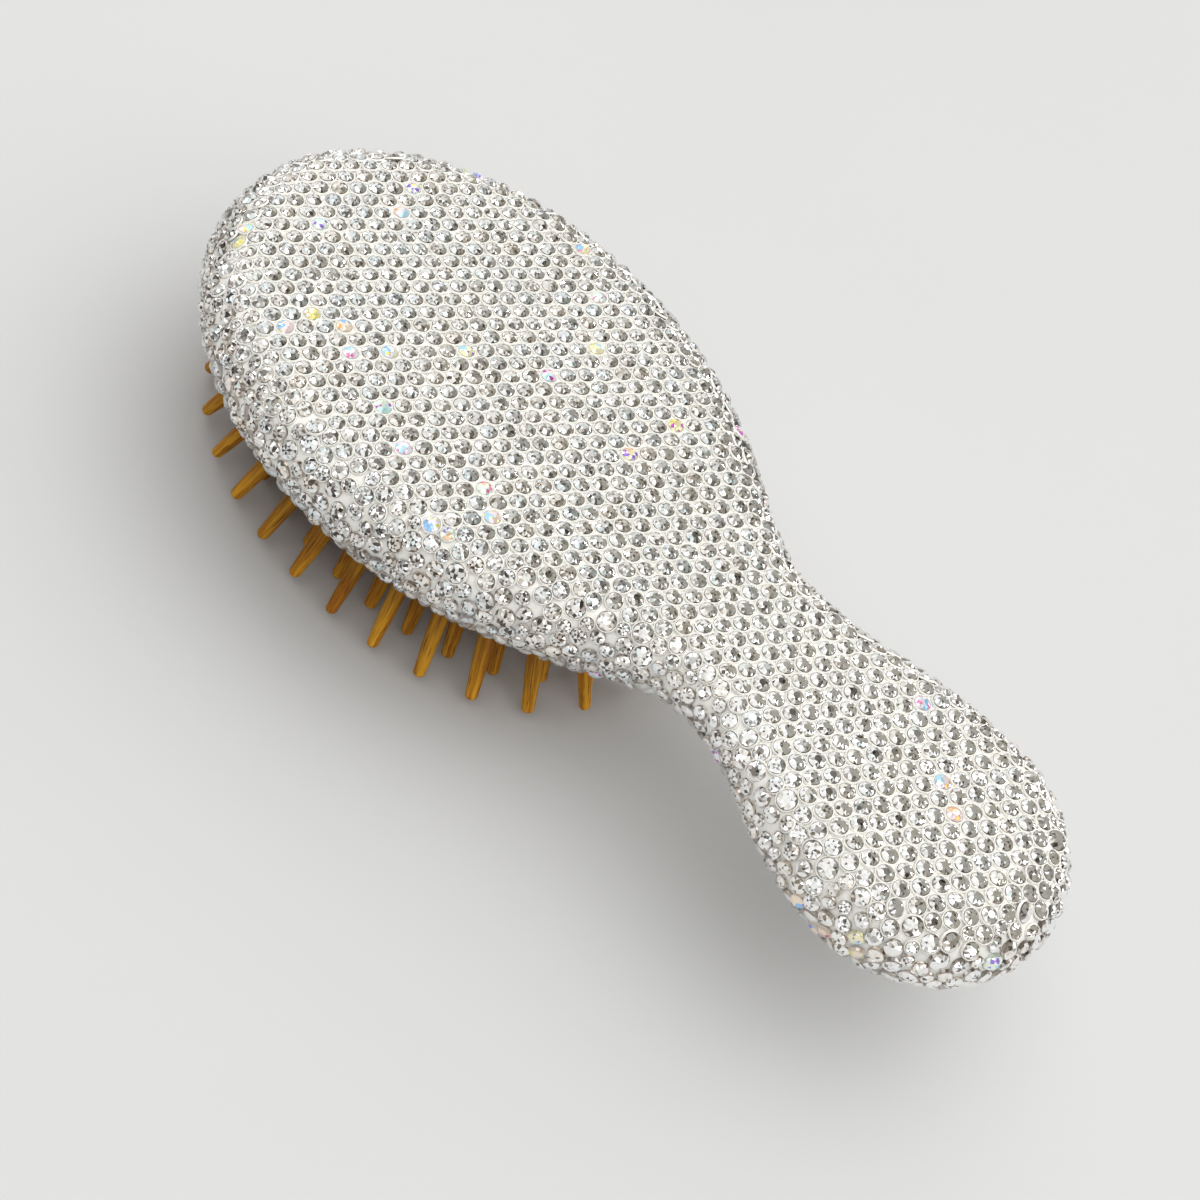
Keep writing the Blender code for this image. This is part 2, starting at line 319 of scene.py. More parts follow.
def superellipse(half_length, half_width, roundness, turn):
    """Points at angles counted from the -X tip towards +Y."""
    c, s = np.cos(turn), np.sin(turn)
    x = -half_length * np.sign(c) * np.abs(c) ** (2 / roundness)
    y = half_width * np.sign(s) * np.abs(s) ** (2 / roundness)
    return np.stack([x, y], axis=1)


def depth(x):
    """Thickness of the body at a place along the brush."""
    neck = smooth_step(x, HEAD_END_X, NECK_THIN_X)
    handle = smooth_step(x, NECK_THIN_X, HANDLE_X)
    return HEAD_DEPTH + (NECK_DEPTH - HEAD_DEPTH) * neck + (HANDLE_DEPTH - NECK_DEPTH) * handle


def even(points, count):
    """The same line, with its points evenly spaced."""
    steps = np.linalg.norm(np.diff(points, axis=0), axis=1)
    along = np.concatenate([[0.0], np.cumsum(steps)])
    wanted = np.linspace(0.0, along[-1], count)
    return np.stack([np.interp(wanted, along, points[:, k]) for k in range(points.shape[1])], axis=1)


def half_plan():
    """The +Y side of the body's outline, from the head's tip to the handle's end."""
    head = superellipse(HEAD_FRONT, HEAD_HALF_WIDTH, HEAD_ROUNDNESS, np.linspace(0, math.pi / 2, 800))
    waist = bezier(
        (0.0, HEAD_HALF_WIDTH),
        (HEAD_FULLNESS * NECK_X, HEAD_HALF_WIDTH),
        ((1 - NECK_PULL) * NECK_X, NECK_HALF_WIDTH),
        (NECK_X, NECK_HALF_WIDTH),
    )
    reach = HANDLE_X - NECK_X
    grip = bezier(
        (NECK_X, NECK_HALF_WIDTH),
        (NECK_X + HANDLE_RISE[0] * reach, NECK_HALF_WIDTH),
        (HANDLE_X - HANDLE_RISE[1] * reach, HANDLE_RADIUS),
        (HANDLE_X, HANDLE_RADIUS),
    )
    end = superellipse(HANDLE_RADIUS, HANDLE_RADIUS, 2.0, np.linspace(math.pi / 2, math.pi, 300))
    end[:, 0] += HANDLE_X
    line = np.concatenate([head, waist[1:], grip[1:], end[1:]])
    return even(line, LOOP_POINTS // 2 + 1)


class Hull:
    """The body's surface: a plan with a fully rounded edge, flat on its back."""

    def __init__(self):
        half = half_plan()
        mirrored = half[1:-1][::-1] * (1, -1)
        self.plan = np.concatenate([half, mirrored])
        along = np.roll(self.plan, -1, axis=0) - np.roll(self.plan, 1, axis=0)
        self.along = along / np.linalg.norm(along, axis=1)[:, None]
        self.out = np.stack([-self.along[:, 1], self.along[:, 0]], axis=1)
        self.edge = depth(self.plan[:, 0]) / 2
        self.border = self.plan - self.out * self.edge[:, None]
        self.tree = kdtree.KDTree(len(self.border))
        for i, (x, y) in enumerate(self.border):
            self.tree.insert((x, y, 0.0), i)
        self.tree.balance()
        order = np.argsort(self.border[:, 0])
        self.under_x = self.border[order, 0]
        self.under_z = -2 * self.edge[order]

    def at(self, i, turn, inset=0.0):
        """Points and normals on the rounded edge, at plan points i and angles down from the back."""
        radius = self.edge[i] - inset
        inward = self.edge[i] - radius * np.cos(turn)
        flat = self.plan[i] - self.out[i] * inward[:, None]
        z = radius * np.sin(turn) - self.edge[i]
        normals = np.concatenate([self.out[i] * np.cos(turn)[:, None], np.sin(turn)[:, None]], axis=1)
        return np.column_stack([flat, z]), normals

    def outside(self, x, y):
        """Nearest point of the flat's border, and how far (x, y) lies outside it and along it."""
        _, i, _ = self.tree.find((x, y, 0.0))
        gap = np.array((x, y)) - self.border[i]
        return i, float(gap @ self.out[i]), float(gap @ self.along[i])

    def underside(self, x):
        return np.interp(x, self.under_x, self.under_z)


HULL = Hull()


def skin(name, inset, step=3, bands=18):
    """The whole body as a closed solid, `inset` under its surface."""
    i = np.arange(0, LOOP_POINTS, step)
    turns = np.linspace(math.pi / 2, -math.pi / 2, bands + 1)
    loops = [HULL.at(i, np.full(len(i), turn), inset)[0] for turn in turns]
    points, faces = loft(loops, caps=False)
    count = len(i)
    for start, flip in ((0, False), (len(points) - count, True)):
        for k in range(count // 2):
            corners = [k, k + 1]
            if k + 1 < count // 2:
                corners.append(count - k - 1)
            if k > 0:
                corners.append(count - k)
            ordered = tuple(start + c for c in corners)
            faces.append(ordered[::-1] if flip else ordered)
    return outward(new_object(name, points, faces, 35))


# Cushion's opening


def oval(growth, z, share=1.0, count=128):
    """A level loop round the cushion, grown from the opening's outline and then scaled."""
    turn = np.linspace(0, 2 * math.pi, count, endpoint=False)
    size = (OPENING[0] + growth, OPENING[1] + growth)
    flat = superellipse(size[0] * share, size[1] * share, OPENING_ROUNDNESS, turn)
    return np.column_stack([flat[:, 0] + CUSHION_X, flat[:, 1], np.full(count, z)])


def opening_share(x, y, growth=0.0):
    """1 on the opening's outline, less inside it."""
    a = np.abs((x - CUSHION_X) / (OPENING[0] + growth)) ** OPENING_ROUNDNESS
    b = np.abs(y / (OPENING[1] + growth)) ** OPENING_ROUNDNESS
    return (a + b) ** (1 / OPENING_ROUNDNESS)


def rubber_z(share):
    return LAND_Z - DOME * (1 - share * share)


# Where the stones go


def even_rows(rng):
    """Stones in even rows on the back and a little way down the edge, with how far down each is."""
    places, normals, ways_down = [], [], []
    c, s = math.cos(ROW_TURN), math.sin(ROW_TURN)
    rise = PITCH * math.sqrt(3) / 2
    for row in ROWS:
        for column in COLUMNS:
            u, v = (column + 0.5 * (row % 2)) * PITCH, row * rise
            x, y = c * u - s * v, s * u + c * v
            i, outside, along = HULL.outside(x, y)
            if outside <= 0:
                places.append((x, y, 0.0))
                normals.append((0.0, 0.0, 1.0))
                ways_down.append(0.0)
            elif outside < LATTICE_REACH:
                stray = STRAY * outside / LATTICE_REACH
                turn = np.array([math.pi / 2 - (outside + rng.gauss(0, stray)) / HULL.edge[i]])
                place, normal = HULL.at(np.array([i]), turn)
                place[0, :2] += HULL.along[i] * (along + rng.gauss(0, stray))
                places.append(tuple(place[0]))
                normals.append(tuple(normal[0]))
                ways_down.append(outside)
    return np.array(places), np.array(normals), np.array(ways_down)


def surface_samples():
    """Closely spaced points and normals on the edge and underside, clear of the cushion."""
    i = np.arange(LOOP_POINTS)
    points, normals = [], []
    for turn in np.linspace(math.pi / 2, -math.pi / 2, SAMPLE_BANDS):
        p, n = HULL.at(i, np.full(len(i), turn))
        points.append(p)
        normals.append(n)
    x, y = np.meshgrid(np.arange(*SAMPLE_X, SAMPLE_STEP), np.arange(*SAMPLE_Y, SAMPLE_STEP))
    inside = [(a, b) for a, b in zip(x.ravel(), y.ravel()) if HULL.outside(a, b)[1] < 0]
    flat = np.array(inside)
    z = HULL.underside(flat[:, 0])
    slope = HULL.underside(flat[:, 0] + 0.5) - HULL.underside(flat[:, 0] - 0.5)
    down = np.column_stack([slope, np.zeros(len(flat)), -np.ones(len(flat))])
    points.append(np.column_stack([flat, z]))
    normals.append(down / np.linalg.norm(down, axis=1)[:, None])
    points, normals = np.concatenate(points), np.concatenate(normals)
    low = points[:, 2] < LAND_Z / 2
    blocked = low & (opening_share(points[:, 0], points[:, 1], RIM_MARGIN) < 1)
    return points[~blocked], normals[~blocked]


def tree_of(points):
    tree = kdtree.KDTree(len(points))
    for i, p in enumerate(points):
        tree.insert(p, i)
    tree.balance()
    return tree


def scatter(samples, fixed, rng):
    """Indices of samples spread thickly enough to fill the surface, clear of the fixed stones."""
    apart = START_SHARE * LOOSE_SPACING
    taken = tree_of(fixed)
    order = rng.sample(range(len(samples)), len(samples))
    free = [i for i in order if taken.find(samples[i])[2] > ROW_CLEARANCE * PITCH]
    cells, chosen = {}, []
    for i in free:
        p = samples[i]
        cell = tuple(int(math.floor(c / apart)) for c in p)
        near = [
            q
            for a in (-1, 0, 1)
            for b in (-1, 0, 1)
            for c in (-1, 0, 1)
            for q in cells.get((cell[0] + a, cell[1] + b, cell[2] + c), ())
        ]
        if all(np.linalg.norm(p - q) > apart for q in near):
            cells.setdefault(cell, []).append(p)
            chosen.append(i)
    return chosen


def settle(samples, normals, fixed, start, sizes):
    """Places and normals of stones pushed apart along the surface until they lie side by side."""
    tree = tree_of(samples)
    reaches = [LOOSE_RADIUS * size for size in sizes] + [STONE_RADIUS[0]] * len(fixed)
    still = [Vector(p) for p in fixed]
    moving = [Vector(p) for p in start]
    nearest = [0] * len(moving)
    widest = 2 * LOOSE_RADIUS * max(SIZE_MIX) + STONE_GAP
    for _ in range(SETTLE_ROUNDS):
        near = tree_of(moving + still)
        pushes = []
        for k, p in enumerate(moving):
            push = Vector()
            for q, index, distance in near.find_range(p, widest):
                overlap = reaches[k] + reaches[index] + STONE_GAP - distance
                if index != k and overlap > 0 and distance > 0:
                    push += (p - q) / distance * overlap * (0.4 if index < len(moving) else 0.7)
            pushes.append(push)
        for k, push in enumerate(pushes):
            moving[k], nearest[k] = on_surface(moving[k] + push, tree, normals)
    return np.array(moving), normals[nearest]


def on_surface(point, tree, normals):
    """The point moved on to the surface, and the index of the sample nearest to it."""
    sample, index, _ = tree.find(point)
    normal = Vector(normals[index])
    offset = point - sample
    offset -= normal * offset.dot(normal)
    if offset.length > SAMPLE_STEP:
        offset *= SAMPLE_STEP / offset.length
    return sample + offset, index


def free_radii(places, sizes):
    """How large each stone can be, sharing the gap to each neighbour by size."""
    tree = tree_of(places)
    radii = []
    for k, p in enumerate(places):
        shares = [
            (distance - STONE_GAP) * sizes[k] / (sizes[k] + sizes[index])
            for _, index, distance in tree.find_n(p, 7)
            if index != k
        ]
        radii.append(max(0.0, min(shares)))
    return np.array(radii)


def stone_places():
    """Centre, outward normal and room of every stone, and whether it is loose of the even rows."""
    rng = random.Random(3)
    all_rows, row_normals, ways_down = even_rows(rng)
    samples, sample_normals = surface_samples()
    chosen = scatter(samples, all_rows, rng)
    firm = ways_down < FIRM_REACH
    rows = all_rows[firm]
    start = np.concatenate([all_rows[~firm], samples[chosen]])
    sizes = [rng.choice(SIZE_MIX) for _ in start]
    settled, settled_normals = settle(samples, sample_normals, rows, start, sizes)
    places = np.concatenate([rows, settled])
    normals = np.concatenate([row_normals[firm], settled_normals])
    rooms = free_radii(places, [1.0] * len(rows) + sizes)
    loose = np.arange(len(places)) >= len(rows)
    keep = rooms > SMALLEST
    return places[keep], normals[keep], rooms[keep], loose[keep]


def stone_frames(places, normals, rooms, loose, rng):
    """Placing of each stone: centre, axes as rows, and radius."""
    frames = []
    for place, normal, room, free in zip(places, normals, rooms, loose):
        slope = 1 - normal[2]
        wanted = rng.uniform(*STONE_RADIUS) * (1 + slope * rng.uniform(-0.12, 0.3))
        radius = min(LARGEST_LOOSE if free else wanted, room)
        lean = LOOSE_LEAN if free else ROW_LEAN[0] + ROW_LEAN[1] * slope
        tilt = Vector((rng.gauss(0, lean), rng.gauss(0, lean), rng.gauss(0, lean))) * math.radians(1)
        axis = (Vector(normal) + tilt).normalized()
        turn = Matrix.Rotation(rng.uniform(0, math.pi / 4), 3, axis)
        side = turn @ axis.orthogonal().normalized()
        axes = np.array([side, axis.cross(side), axis])
        centre = place + normal * (STONE_PROUD + rng.uniform(*PROUD_SPREAD))
        frames.append((centre, axes, radius))
    return frames


def cut_stone():
    """Points, faces and facet kinds of a flat-backed cut stone of radius 1, with its table at z = 0."""
    rings = (  # corners, turn in degrees, radius and height
        (8, 0.0, 0.42, 0.0),
        (8, 22.5, 0.70, -0.13),
        (16, 0.0, 0.925, -0.345),
        (16, 0.0, 1.0, -0.46),
        (16, 0.0, 0.96, -0.85),
    )
    points = [(0.0, 0.0, 0.0)]
    for count, start, radius, height in rings:
        for k in range(count):
            turn = math.radians(start) + k / count * 2 * math.pi
            points.append((radius * math.cos(turn), radius * math.sin(turn), height))
    table, middle, crown, girdle, foot = 1, 9, 17, 33, 49
    faces, kinds = [], []
    for k in range(8):
        j, before = (k + 1) % 8, (k - 1) % 8
        faces.append((0, table + k, table + j))
        faces.append((table + j, table + k, middle + k))
        faces.append((table + k, middle + before, crown + 2 * k, middle + k))
        faces.append((middle + k, crown + 2 * k, crown + 2 * k + 1))
        faces.append((middle + k, crown + 2 * k + 1, crown + (2 * k + 2) % 16))
        kinds += ["table", "star", "kite", "brim", "brim"]
    for k in range(16):
        j = (k + 1) % 16
        faces.append((crown + j, crown + k, girdle + k, girdle + j))
        faces.append((girdle + j, girdle + k, foot + k, foot + j))
        kinds += ["rim", "rim"]
    faces.append(tuple(range(foot + 15, foot - 1, -1)))
    kinds.append("rim")
    return points, faces, kinds


DARK_CHANCE = {"table": 0.16, "star": 0.22, "kite": 0.07, "brim": 0.13}
DARK, MID, LIT, RIM = (0.1, 0.4), (0.55, 0.95), (0.85, 1.0), (0.2, 0.6)  # greys of facets: painted reflections of dark and bright parts of a room; RIM is painted shade of each stone's outline
# More dark facets on the rounded edge: painted darker reflections of the dim room low down.
EDGE_PAINTED_DARKNESS = 2.2
WARMTH, WARMTH_SPREAD = 0.016, 0.024


def facet_tones(rng, kinds, place, darkness=1.0):
    """Grey of each facet of one clear stone, a little tinted; paler and warmer on the handle. The greys
    are painted reflections, and `darkness` paints more dark ones.
    """
    on_handle = float(smooth_step(place[0], HEAD_END_X, NECK_THIN_X))
    darkness *= 1 - 0.45 * on_handle
    warmth = rng.gauss(WARMTH + 0.014 * on_handle, WARMTH_SPREAD)
    cool_chance = 0.34 - 0.22 * on_handle
    tones = []
    for kind in kinds:
        # The rim band round the girdle is painted darker, as shade of the stone's outline.
        if kind == "rim":
            value = rng.uniform(*RIM)
        elif rng.random() < darkness * DARK_CHANCE[kind]:
            value = rng.uniform(*DARK) / max(1.0, darkness)
        else:
            lit, mid = rng.uniform(*LIT), rng.uniform(MID[0] + 0.15 * on_handle, MID[1])
            value = rng.choice((lit, mid)) * (1 + 0.14 * on_handle)
        cool = 0.16 * rng.random() if value > 0.6 and rng.random() < cool_chance else 0.0
        warm = warmth + (1 - min(value, 1.0)) * 0.14
        tones.append((value * (1 + warm - cool), value, value * (1 - warm + 0.4 * cool), 1.0))
    return tones


# Stones on the rounded edge, with painted darker reflections.
def edge_tones(rng, kinds, place):
    return facet_tones(rng, kinds, place, EDGE_PAINTED_DARKNESS)


PALE = ((1.0, 0.95, 0.62), (1.0, 0.86, 0.7), (0.9, 1.0, 0.88), (0.97, 0.93, 1.0), (1.0, 0.84, 0.84))
SKY = ((0.5, 0.82, 1.0), (0.62, 0.95, 0.95), (0.35, 0.62, 1.0), (1.0, 0.66, 0.42), (0.98, 0.88, 0.3))
STRONG = ((0.55, 0.08, 0.5), (0.95, 0.5, 0.15), (0.9, 0.25, 0.5), (0.35, 0.2, 0.75), (0.9, 0.85, 0.2))


def rainbow_tones(rng, kinds, place):
    """Colours of one iridescent stone: pale, another hue on one side and a few strong facets."""
    pale, sky, strong = rng.choice(PALE), rng.choice(SKY), rng.choice(STRONG)
    facets = 40
    first = rng.randrange(facets)
    tones = []
    for k, kind in enumerate(kinds):
        # The rim band is painted darker, as shade of the stone's outline.
        if kind == "rim":
            colour = tuple(0.7 * c for c in pale)
        elif kind != "table" and rng.random() < 0.2:
            colour = strong
        elif (k - first) % facets < facets // 3:
            colour = sky
        else:
            colour = pale
        tones.append((*colour, 1.0))
    return tones


def stone_piece(name, frames, tone_maker, rng, look):
    """Stones as one mesh, with each facet's tone and its stone's axis for the material."""
    template, faces, kinds = cut_stone()
    points, all_faces = many(template, faces, frames)
    obj = new_object(name, points, all_faces)
    tones = [tone for place, _, _ in frames for tone in tone_maker(rng, kinds, place)]
    axes = [axes[2] for _, axes, _ in frames for _ in faces]
    tone = obj.data.attributes.new("tone", "FLOAT_COLOR", "FACE")
    tone.data.foreach_set("color", np.array(tones, np.float32).ravel())
    axis = obj.data.attributes.new("axis", "FLOAT_VECTOR", "FACE")
    axis.data.foreach_set("vector", np.array(axes, np.float32).ravel())
    hand_over(obj, look, "brush", "rhinestone_layer")


def collar():
    """A rounded rim of clay round a stone of radius 1."""
    profile = ((0.985, -0.62), (1.005, -0.46), (1.04, -0.40), (1.10, -0.40), (1.17, -0.62))
    sides = 16
    turn = np.arange(sides) / sides * 2 * math.pi
    circle = np.column_stack([np.cos(turn), np.sin(turn)])
    loops = [np.column_stack([radius * circle, np.full(sides, height)]) for radius, height in profile]
    return loft(loops, close=True)


# Body pieces


TONES = {"back": facet_tones, "edge": edge_tones, "underside": facet_tones, "iridescent": rainbow_tones}


def build_stones(looks):
    rng = random.Random(11)
    frames = stone_frames(*stone_places(), rng)
    groups = {name: [] for name in TONES}
    for entry in frames:
        up = entry[1][2][2]
        if rng.random() < IRIDESCENT_SHARE:
            groups["iridescent"].append(entry)
        elif up > BACK_UP:
            groups["back"].append(entry)
        elif up > EDGE_UP:
            groups["edge"].append(entry)
        else:
            groups["underside"].append(entry)
    for name, entries in groups.items():
        look = looks["rainbow" if name == "iridescent" else "crystal"]
        stone_piece(f"stones_{name}", entries, TONES[name], rng, look)
    return frames


def build_clay(frames, looks):
    """A hollow coat of clay, open at the cushion, with a rim round each stone that faces up."""
    outer = skin("clay_setting_skin", CLAY_INSET)
    inner = skin("clay_inner", CLAY_INSET + CLAY_DEPTH)
    points, faces = loft([oval(0.1, LAND_Z - 4, count=160), oval(0.1, POCKET_TOP - 3, count=160)])
    opening = outward(new_object("clay_opening", points, faces))
    clay = carve(outer, inner, opening)
    points, faces = many(*collar(), [entry for entry in frames if entry[1][2][2] > COLLAR_UP])
    rims = new_object("clay_rims", points, faces)
    join(clay, rims)
    smooth(clay, 42)
    hand_over(clay, looks["clay"], "brush", "clay_setting")


# Pins


def node_points(node):
    """Corners of a CAD node, in millimetres, without doubles, and its edges."""
    mesh = frame["nodes"][node].data
    raw = np.array([v.co for v in mesh.vertices]) / MM
    unique, index = np.unique(np.round(raw, 3), axis=0, return_inverse=True)
    index = index.ravel()
    edges = {tuple(sorted((index[e.vertices[0]], index[e.vertices[1]]))) for e in mesh.edges}
    return unique, [e for e in edges if e[0] != e[1]]


def jointed_pins():
    """Pivot and tip of each pin that rocks, by name."""
    pins = {}
    for joint in frame["joints"]:
        name = joint["name"].removesuffix("_rock")
        if name not in frame["nodes"]:
            continue
        pivot = np.array(joint["pos_m"]) / MM
        points, _ = node_points(name)
        reach = np.linalg.norm(points - pivot, axis=1)
        below = points[:, 2] < pivot[2] - 5
        tip = points[below & (reach > reach[below].max() - 0.3)].mean(axis=0)
        pins[name] = (pivot, tip)
    return pins


def fixed_pins():
    """Foot and tip of each pin that stands in the backing sheet."""
    points, edges = node_points("pin_backing")
    sheet = points[:, 2].max() - SHEET
    parent = list(range(len(points)))

    def root(i):
        while parent[i] != i:
            parent[i] = parent[parent[i]]
            i = parent[i]
        return i

    for a, b in edges:
        if min(points[a, 2], points[b, 2]) < sheet - 0.2:
            parent[root(int(a))] = root(int(b))
    groups = {}
    for i in range(len(points)):
        groups.setdefault(root(i), []).append(i)
    pins = []
    for members in groups.values():
        part = points[members]
        if len(part) < 6 or part[:, 2].min() > sheet - 5:
            continue
        foot = part[part[:, 2] > sheet - 0.2].mean(axis=0)
        tip = part[part[:, 2] < part[:, 2].min() + 0.35].mean(axis=0)
        pins.append((foot, tip))
    return sorted(pins, key=lambda pin: tuple(pin[0]))


def pin_mesh(start, length, flange, rng, sides=20):
    """A turned pin along +Z from its pivot: flange, slim neck in the rubber, body and round tip."""
    neck = PIN_NECK * rng.uniform(0.97, 1.03)
    body, tip = PIN_BODY * rng.uniform(0.95, 1.04), PIN_TIP * rng.uniform(0.95, 1.05)
    profile = []
    if flange:
        profile += [(radius, start + height) for radius, height in FLANGE]
        start += FLANGE_HEIGHT
    profile += [(neck, start), (neck, NECK_LENGTH), (body, NECK_LENGTH + SHOULDER)]
    first = profile[-1][1]
    for share in (0.2, 0.4, 0.6, 0.78, 0.9, 0.97):
        height = first + (length - 1.0 - first) * share
        profile.append((body + (tip - body) * share**2.5, height))
    for k in range(6):
        turn = k / 6 * math.pi / 2
        profile.append((tip * math.cos(turn), length - TIP_ROUND + TIP_ROUND * math.sin(turn)))
    angles = np.arange(sides) / sides * 2 * math.pi
    waves = np.array([1 + 0.018 * math.sin(2 * a + rng.uniform(0, 0.4)) for a in angles])
    loops = []
    for radius, height in profile:
        around = radius * waves
        loop = [around * np.cos(angles), around * np.sin(angles), np.full(sides, height)]
        loops.append(np.column_stack(loop))
    points, faces = loft(loops, caps=False)
    faces.append(tuple(range(sides))[::-1])
    points = np.concatenate([points, [(0.0, 0.0, length)]])
    last = len(points) - 1
    start_ring = last - sides
    faces += [(start_ring + i, start_ring + (i + 1) % sides, last) for i in range(sides)]
    return points, faces


def stand(obj, at, tip, rng):
    """Puts a pin's origin at a place in millimetres, with its +Z towards the tip."""
    lean = Vector(tip - at).normalized()
    obj.rotation_mode = "QUATERNION"
    spin = Matrix.Rotation(rng.uniform(0, 2 * math.pi), 4, "Z").to_quaternion()
    obj.rotation_quaternion = lean.to_track_quat("Z", "Y") @ spin
    obj.location = Vector(at) * MM
    return obj


def build_pins(looks):
    rng = random.Random(5)
    for name, (pivot, tip) in sorted(jointed_pins().items()):
        length = float(np.linalg.norm(tip - pivot))
        points, faces = pin_mesh(FLANGE_START, length, True, rng)
        pin = outward(new_object(f"wooden_{name}", points, faces, 50))
        stand(pin, pivot, tip, rng)
        hand_over(pin, looks["pin_wood"], name, name)


def build_backing(looks):
    """The foam sheet behind the rubber and the pins fixed in it, as one piece each."""
    rng = random.Random(6)
    low, high = box_mm("pin_backing")
    top = high[2]
    growth = min((high[0] - low[0]) / 2 - OPENING[0], (high[1] - low[1]) / 2 - OPENING[1])
    loops = [oval(growth + more, top + z, count=96) for more, z in SHEET_EDGE]
    sheet = outward(new_object("foam_sheet", *loft(loops), 60))
    hand_over(sheet, looks["foam"], "cushion", "pin_backing")
    for k, (foot, tip) in enumerate(fixed_pins(), 1):
        length = float(np.linalg.norm(tip - foot))
        points, faces = pin_mesh(FOOT_START, length, False, rng)
        pin = outward(new_object(f"wooden_pin_inner_{k:02d}", points, faces, 50))
        stand(pin, foot, tip, rng)
        hand_over(pin, looks["pin_wood"], "cushion", "pin_backing")


# Cushion


def tube(start, end, radius, sides=18):
    """A closed cylinder between two points in millimetres."""
    axis = Vector(end - start).normalized()
    side = axis.orthogonal().normalized()
    other = axis.cross(side)
    angles = np.arange(sides) / sides * 2 * math.pi
    ring = radius * (np.outer(np.cos(angles), side) + np.outer(np.sin(angles), other))
    return loft([start + ring, end + ring])


def through(at, tip):
    """Where a pin's middle line meets the rubber's outer face."""
    step = (tip - at) / np.linalg.norm(tip - at)
    point = at.copy()
    for _ in range(20):
        gap = point[2] - rubber_z(min(1.0, opening_share(point[0], point[1])))
        point = point + step * gap
    return point, step


def hole_collar(centre, axis, radius=PIN_HOLE):
    """A soft raised ring of rubber round a pin."""
    up = Vector(axis)
    side = up.orthogonal().normalized()
    other = up.cross(side)
    profile = ((0.0, -0.5), (0.0, 0.25), (0.1, 0.42), (0.28, 0.42), (0.5, 0.18), (0.62, -0.5))
    angles = np.arange(18) / 18 * 2 * math.pi
    loops = []
    for grow, height in profile:
        ring = (radius + grow) * (np.outer(np.cos(angles), side) + np.outer(np.sin(angles), other))
        loops.append(centre + ring + np.array(axis) * height)
    return loft(loops, close=True)


def dome_mesh():
    """Points and faces of the closed membrane, with its skirt up inside the head."""
    count = 128
    outside = [oval(SKIRT + growth, LAND_Z + z) for growth, z in SKIRT_OUTSIDE]
    outside += [oval(0.0, rubber_z(share), share) for share in DOME_SHARES]
    inside = [oval(0.0, rubber_z(share) + RUBBER, share) for share in DOME_SHARES[::-1]]
    inside += [oval(SKIRT + growth, LAND_Z + z) for growth, z in SKIRT_INSIDE]
    points, faces = loft(outside + inside, close=True)
    low_face = (len(outside) - 1) * count
    high_face = low_face + count
    end = high_face + count
    faces = [f for f in faces if not (min(f) >= low_face and max(f) < end)]
    faces.append(tuple(range(low_face, high_face)))
    faces.append(tuple(range(high_face, end))[::-1])
    return points, faces


def hole_tool(lines):
    """One cutter for the air vent and a hole on each (point, direction) line."""
    vent_at = np.array([VENT_X, 0.0, LAND_Z])
    cutters = [tube(p - d * 6, p + d * 3, PIN_HOLE) for p, d in lines]
    cutters.append(tube(vent_at + (0, 0, 5), vent_at - (0, 0, 5), VENT_RADIUS))
    points, faces, start = [], [], 0
    for tube_points, tube_faces in cutters:
        points.append(tube_points)
        faces += [tuple(i + start for i in face) for face in tube_faces]
        start += len(tube_points)
    return outward(new_object("hole_tool", np.concatenate(points), faces))


def build_dome(looks):
    """The rubber dome that sinks with the pins, with a raised ring round each hole."""
    dome = outward(new_object("cushion_dome", *dome_mesh()))
    pins = list(jointed_pins().values()) + fixed_pins()
    lines = [through(at, tip) for at, tip in pins]
    carve(dome, hole_tool(lines))
    rings = [new_object("hole_ring", *hole_collar(p, d)) for p, d in lines]
    join(dome, *[outward(ring) for ring in rings])
    smooth(dome, 40)
    hand_over(dome, looks["rubber"], "cushion", "cushion_pad")


def build_rim(looks):
    """The rim that stays in the head's groove."""
    loops = [oval(growth, LAND_Z + z) for growth, z in RIM_SECTION]
    rim = outward(new_object("cushion_rim", *loft(loops, close=True), 40))
    hand_over(rim, looks["rubber"], "brush", "cushion_pad")


# Materials


